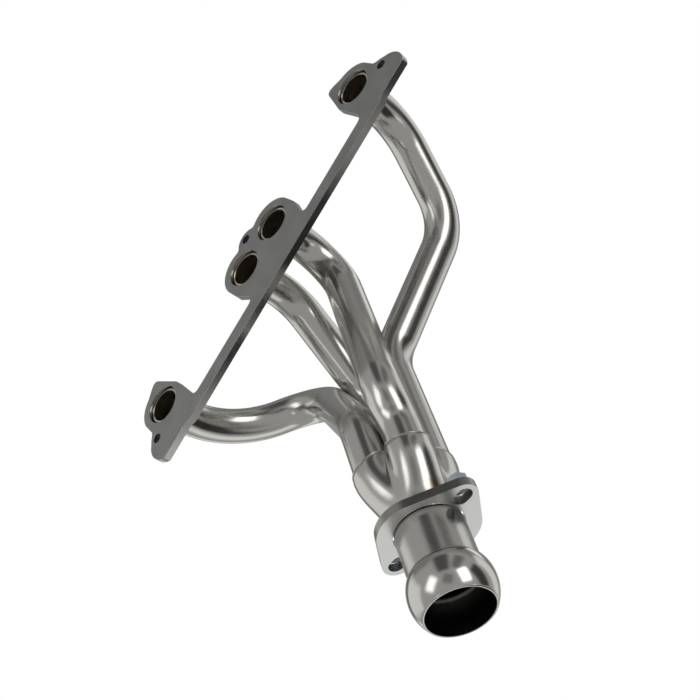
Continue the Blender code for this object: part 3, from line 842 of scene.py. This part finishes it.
class MANIFOLD_OT_collector(bpy.types.Operator):
    """Build the collector that gathers the runners, and the plug between them"""
    bl_idname = "manifold.collector"
    bl_label = "Collector"

    def execute(self, context):
        levels = np.concatenate((np.linspace(0.0, 0.08, 12)[:-1], np.linspace(0.08, 1.0, 60)))
        outer, angle = collector_skin(True, levels)
        inner, angle = collector_skin(False, levels)
        along = COLLECTOR_LENGTH * levels
        uv = (angle * NECK_RADIUS, np.concatenate((along, along[::-1] + 0.2)))
        mesh = closed_surface("collector", np.concatenate((outer, inner[::-1])), uv=uv,
                              inner_rows=len(outer))
        # The collector's inner skin takes the dark steel: painted shade inside it.
        place("collector", mesh, ROOT, "polished_stainless", "polished_collector", "outlet_bore")
        plate_piece("merge_plug", ROOT, "brushed_stainless", "cast_edge", "cast_edge", 0.2 * MM)
        return {"FINISHED"}


class MANIFOLD_OT_entry_welds(bpy.types.Operator):
    """Build the beads along the collector's rim"""
    bl_idname = "manifold.entry_welds"
    bl_label = "Entry welds"

    def execute(self, context):
        seat = context.scene.manifold_tubing.runner_radius + GAP + ENTRY_BEAD
        round_lobe = ENTRY_BEAD_REACH * np.linspace(-1.0, 1.0, 160)
        from_lobe = np.arctan2(seat * np.sin(round_lobe), LOBE_CIRCLE + seat * np.cos(round_lobe))
        for number, (lobe, *_) in enumerate(RUNNERS, start=1):
            across, aside = lobe_place(lobe)
            angle = LOBE_CLOCK + 2 * lobe * HALF_LOBE + round_lobe
            path = on_outlet(across + seat * np.cos(angle), aside + seat * np.sin(angle),
                             rim_height(from_lobe) + ENTRY_BEAD)
            name = f"entry_weld_{number}"
            place(name, swept_bead(name, path, ENTRY_BEAD, 30), ROOT, "weld_metal", "weld_bead")
        return {"FINISHED"}


class MANIFOLD_OT_outlet(bpy.types.Operator):
    """Build the outlet pipe, its ball end and the welds between them"""
    bl_idname = "manifold.outlet"
    bl_label = "Outlet"

    def execute(self, context):
        sizes = context.scene.manifold_tubing
        radius, wall = sizes.pipe_radius, sizes.wall
        level = np.linspace(BALL_TOP + GAP, PIPE_TOP, 24)
        skins = np.r_[np.c_[np.full(24, radius), level], np.c_[np.full(24, radius - wall), level[::-1]]]
        mesh = turned_ring("outlet_tube", skins, on_outlet, inner_rows=24)
        # The inner skins of the pipe and ball take the dark steel: painted shade inside the bore.
        place("outlet_tube", mesh, ROOT, "brushed_stainless", "satin_pipe", "outlet_bore")
        section, inner_rows = ball_section(sizes.ball_radius, BALL_COLLAR, wall)
        mesh = turned_ring("outlet_ball", section, on_outlet, inner_rows=inner_rows)
        place("outlet_ball", mesh, ROOT, "polished_stainless", "polished_ball", "outlet_bore")
        around = full_turn(480)
        neck = bead_section(NECK_RADIUS + GAP, radius, PIPE_TOP + GAP, PIPE_TOP + PIPE_WELD_CROWN)
        ball = bead_section(radius + GAP, BALL_COLLAR + BALL_WELD_LAP, BALL_TOP + GAP,
                            BALL_TOP + BALL_WELD_CROWN)
        for name, section, scallops, depth, phase in (("outlet_weld", neck, 60, 0.12 * MM, 0.0),
                                                      ("ball_weld", ball, 70, 0.14 * MM, 1.0)):
            ripple = bead_ripple(section, around, scallops, depth, phase)
            mesh = turned_ring(name, section, on_outlet, around, ripple)
            place(name, mesh, ROOT, "weld_metal", "weld_bead")
        return {"FINISHED"}


class MANIFOLD_OT_swivel_flange(bpy.types.Operator):
    """Build the loose flange that turns about the neck, and its nuts"""
    bl_idname = "manifold.swivel_flange"
    bl_label = "Swivel flange"

    def execute(self, context):
        plate_piece("swivel_flange", SWIVEL, "cast_steel", "cast_face", "cast_edge",
                    1.2 * context.scene.manifold_tubing.edge_round)
        for number, sign in enumerate((1.0, -1.0), start=1):
            name = f"flange_nut_{number}"
            place(name, hex_nut(name, EAR_CENTRE, sign), SWIVEL, "zinc_plate", "zinc")
        return {"FINISHED"}


# ---------------------------------------------------------------- stage

def build_softbox_group():
    """A rectangle of light in the sky: bright where a direction falls inside it, with soft sides."""
    tree, given, result = new_group("softbox", [
        ("Direction", "NodeSocketVector", None), ("Centre", "NodeSocketVector", (0.0, 0.0, 1.0)),
        ("Side", "NodeSocketVector", (1.0, 0.0, 0.0)), ("Half width", "NodeSocketFloat", 0.3),
        ("Half height", "NodeSocketFloat", 0.3), ("Softness", "NodeSocketFloat", 0.06)], ["Mask"])
    direction, centre, side = (given[label] for label in ("Direction", "Centre", "Side"))

    def dot(axis):
        return add_node(tree, "ShaderNodeVectorMath", {0: direction, 1: axis},
                        operation="DOT_PRODUCT").outputs["Value"]

    up = add_node(tree, "ShaderNodeVectorMath", {0: centre, 1: side}, operation="CROSS_PRODUCT")
    ahead = dot(centre)
    front = reckon(tree, "MAXIMUM", ahead, 0.02)
    mask = reckon(tree, "GREATER_THAN", ahead, 0.02)
    for axis, half in ((side, "Half width"), (up.outputs[0], "Half height")):
        size = reckon(tree, "ABSOLUTE", reckon(tree, "DIVIDE", dot(axis), front))
        inside = reckon(tree, "SUBTRACT", given[half], size)
        soft = spread(tree, inside, (0.0, given["Softness"]), curve="SMOOTHSTEP")
        mask = reckon(tree, "MULTIPLY", mask, soft)
    tree.links.new(mask, result["Mask"])


def sky_patches():
    """The studio as rectangles painted over one another in the sky, the first at the back.

    Each is its angle from the camera's own direction and its angle round it from the camera's
    right, both in degrees, then its half width and half height, its brightness and its softness.
    """
    return (
        (150, 90, 1.60, 0.90, 0.22, 0.60),
        (150, 205, 0.20, 0.60, 0.12, 0.15),
        (92, 112, 0.55, 0.34, 0.08, 0.20),
        (88, 82, 0.45, 0.26, 0.16, 0.20),
        (45, 112, 0.30, 0.30, 0.20, 0.18),
        (125, 10, 0.30, 0.80, 0.80, 0.15),
        (84, 30, 0.30, 0.50, 0.05, 0.12),
        (114, 196, 0.62, 0.55, 0.78, 0.25),
        (93, 289, 0.36, 0.36, 0.90, 0.20),
        (50, 352, 0.10, 0.34, 1.20, 0.08),
        (69, 328, 0.46, 0.46, 0.03, 0.10),
        (36, 200, 0.05, 0.16, 1.60, 0.04),
        (145, 50, 0.30, 0.20, 0.95, 0.15),
        (138, 255, 0.34, 0.22, 0.95, 0.15),
        (65, 158, 0.28, 0.38, 1.60, 0.18),
        (58, 62, 0.26, 0.34, 2.20, 0.10),
    )


def studio_world(light):
    """White for the camera, and a grey room with softboxes for everything the metal reflects."""
    world = bpy.data.worlds.new("studio")
    world.use_nodes = True
    tree = world.node_tree
    tree.nodes.clear()
    look = add_node(tree, "ShaderNodeTexCoord").outputs["Generated"]
    turn = np.array(CAMERA_TURN.to_matrix()).T
    build_softbox_group()
    total = add_node(tree, "ShaderNodeValue").outputs[0]
    total.default_value = ROOM_GREY * light
    for away, around, half_width, half_height, brightness, softness in sky_patches():
        away, around = math.radians(away), math.radians(around)
        centre = unit((math.sin(away) * math.cos(around), math.sin(away) * math.sin(around),
                       math.cos(away))) @ turn
        side = unit(np.cross(centre, unit(turn[1] - turn[1].dot(centre) * centre)))
        box = fill_group(tree, "softbox", {
            "Direction": look, "Centre": tuple(centre), "Side": tuple(side),
            "Half width": half_width, "Half height": half_height, "Softness": softness})
        total = add_node(tree, "ShaderNodeMix", {0: box["Mask"], 2: total, 3: brightness * light},
                         data_type="FLOAT").outputs[0]
    room = add_node(tree, "ShaderNodeBackground", {"Color": (1.0, 0.995, 0.98, 1.0), "Strength": total})
    backdrop = add_node(tree, "ShaderNodeBackground", {"Color": (1.0, 1.0, 1.0, 1.0), "Strength": 1.0})
    seen = add_node(tree, "ShaderNodeLightPath")
    mix = add_node(tree, "ShaderNodeMixShader", {0: seen.outputs["Is Camera Ray"], 1: room.outputs[0],
                                                 2: backdrop.outputs[0]})
    output = add_node(tree, "ShaderNodeOutputWorld")
    tree.links.new(mix.outputs[0], output.inputs["Surface"])
    bpy.context.scene.world = world


def floor_material(colour):
    """A pale matt floor, lit a little from below like a studio's light table."""
    material, tree, shader = start_material("pale_floor")
    position = add_node(tree, "ShaderNodeTexCoord").outputs["Object"]
    drift = fill_group(tree, "surface_drift", {"Vector": position, "Scale": 1.5})["Mask"]
    body = blend_colour(tree, drift, shade(colour, 0.985), colour)
    tree.links.new(body, shader.inputs["Base Color"])
    shader.inputs["Roughness"].default_value = 0.8
    shader.inputs["Emission Color"].default_value = (*colour, 1.0)
    shader.inputs["Emission Strength"].default_value = FLOOR_GLOW
    return material


class MANIFOLD_OT_stage(bpy.types.Operator):
    """Set up the floor, the light and the camera"""
    bl_idname = "manifold.stage"
    bl_label = "Stage"

    def execute(self, context):
        settings = context.scene.manifold_stage
        level = cad_box[0].z - settings.drop
        mesh = bpy.data.meshes.new("floor")
        corners = FLOOR_REACH * np.array(((-1.0, -1.0), (1.0, -1.0), (1.0, 1.0), (-1.0, 1.0)))
        mesh.from_pydata(np.c_[corners, np.full(4, level)].tolist(), [], [(0, 1, 2, 3)])
        mesh.materials.append(floor_material(tuple(settings.floor)))
        floor = bpy.data.objects.new("floor", mesh)
        context.scene.collection.objects.link(floor)
        floor.visible_glossy = False
        floor.visible_diffuse = False
        studio_world(settings.light)
        camera = bpy.data.cameras.new("camera")
        camera.lens = CAMERA_LENS
        camera.sensor_width = CAMERA_SENSOR
        camera.clip_start = 0.01
        eye = bpy.data.objects.new("camera", camera)
        eye.matrix_world = Matrix.Translation(CAMERA_PLACE) @ CAMERA_TURN.to_matrix().to_4x4()
        context.scene.collection.objects.link(eye)
        context.scene.camera = eye
        context.scene.view_settings.view_transform = "Standard"
        return {"FINISHED"}


class MANIFOLD_PT_pieces(bpy.types.Panel):
    """Lists the manifold's pieces and settings"""
    bl_label = "Manifold"
    bl_idname = "MANIFOLD_PT_pieces"
    bl_space_type = "VIEW_3D"
    bl_region_type = "UI"
    bl_category = "Manifold"

    def draw(self, context):
        layout = self.layout
        for name in ("manifold_tubing", "manifold_finish", "manifold_stage"):
            group = getattr(context.scene, name)
            for key in group.bl_rna.properties.keys():
                if key not in ("rna_type", "name"):
                    layout.prop(group, key)
        for operator in OPERATORS:
            layout.operator(operator.bl_idname)


SETTINGS = {"manifold_tubing": TubingSettings, "manifold_finish": FinishSettings,
            "manifold_stage": StageSettings}
OPERATORS = (MANIFOLD_OT_stage, MANIFOLD_OT_head_flange, MANIFOLD_OT_runners, MANIFOLD_OT_port_welds,
             MANIFOLD_OT_collector, MANIFOLD_OT_entry_welds, MANIFOLD_OT_outlet,
             MANIFOLD_OT_swivel_flange)


def register():
    """Register the settings, the operators and the panel."""
    for name, group in SETTINGS.items():
        bpy.utils.register_class(group)
        setattr(bpy.types.Scene, name, PointerProperty(type=group))
    for operator in OPERATORS:
        bpy.utils.register_class(operator)
    bpy.utils.register_class(MANIFOLD_PT_pieces)


def unregister():
    """Undo register in reverse."""
    bpy.utils.unregister_class(MANIFOLD_PT_pieces)
    for operator in reversed(OPERATORS):
        bpy.utils.unregister_class(operator)
    for name, group in SETTINGS.items():
        delattr(bpy.types.Scene, name)
        bpy.utils.unregister_class(group)


def main():
    """Build every piece in order."""
    register()
    bpy.ops.manifold.stage()
    bpy.ops.manifold.head_flange()
    bpy.ops.manifold.runners()
    bpy.ops.manifold.port_welds()
    bpy.ops.manifold.collector()
    bpy.ops.manifold.entry_welds()
    bpy.ops.manifold.outlet()
    bpy.ops.manifold.swivel_flange()


if __name__ == "__main__":
    main()
